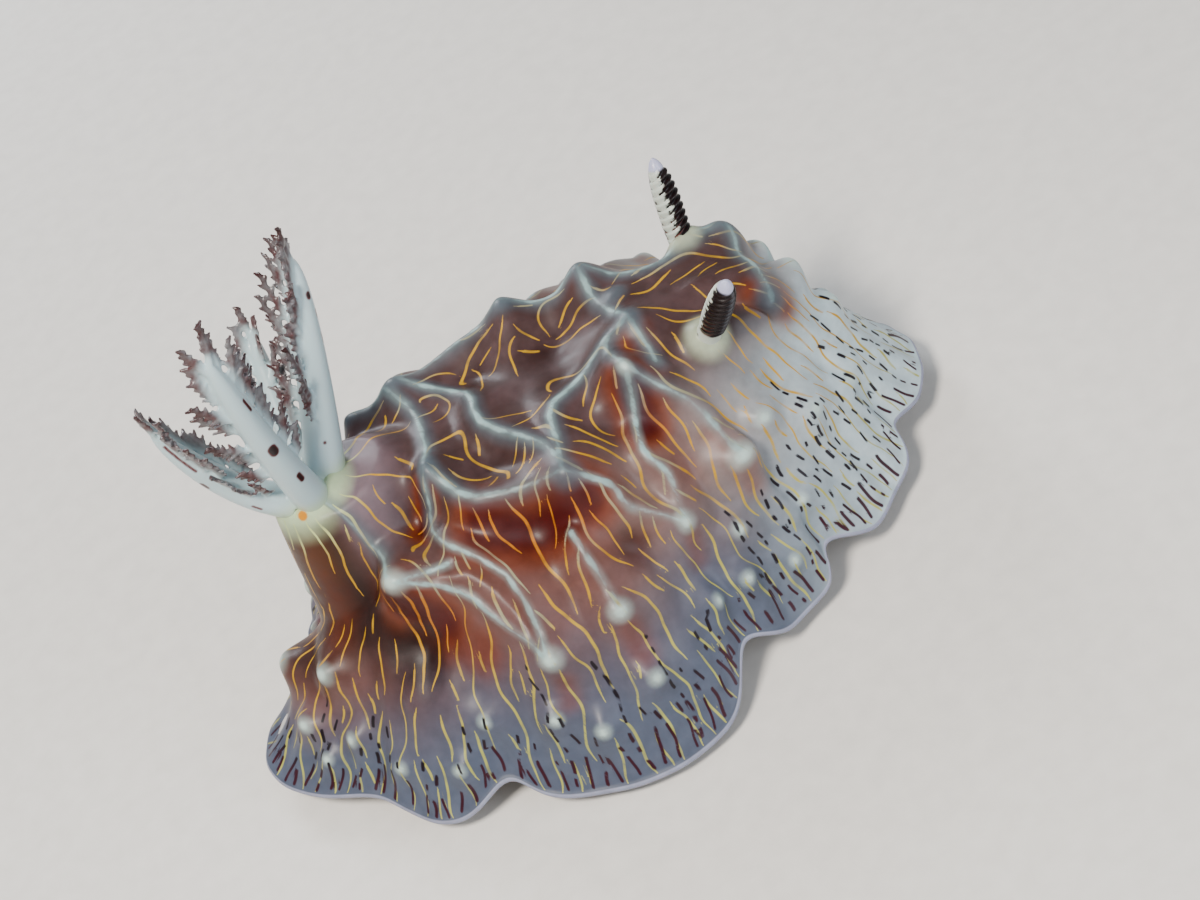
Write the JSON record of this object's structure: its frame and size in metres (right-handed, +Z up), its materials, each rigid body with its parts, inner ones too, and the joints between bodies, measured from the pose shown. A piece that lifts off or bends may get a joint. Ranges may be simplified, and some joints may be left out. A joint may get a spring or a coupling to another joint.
{
  "type": "halgerda willeyi sea slug",
  "caption": "Still model of a dorid sea slug: high vaulted mantle with ridges and tubercles, a ruffled edge, leafy rhinophores, feathery gills, a foot and a head.",
  "frame": {"origin": "middle of the foot's flat sole, on the floor", "axes": "+X towards the head, +Y to the animal's left, +Z up"},
  "size_m": [0.0656, 0.0496, 0.0466],
  "materials": {
    "mantle": "wet translucent skin",
    "foot": "wet translucent skin",
    "head": "wet translucent skin",
    "rhinophore": "wet, near-black leaflets on a white stalk",
    "gill": "wet translucent white, maroon tips"
  },
  "bodies": {
    "root": {"mantle_front": "mantle", "mantle_middle": "mantle", "mantle_rear": "mantle", "foot": "foot", "head": "head", "oral_tentacle_right": "head", "oral_tentacle_left": "head", "rhinophore_right": "rhinophore", "rhinophore_left": "rhinophore", "gill_trunk": "gill", "gill_plume_front": "gill", "gill_plume_right": "gill", "gill_plume_rear": "gill", "gill_plume_left": "gill"}
  },
  "joints": []
}
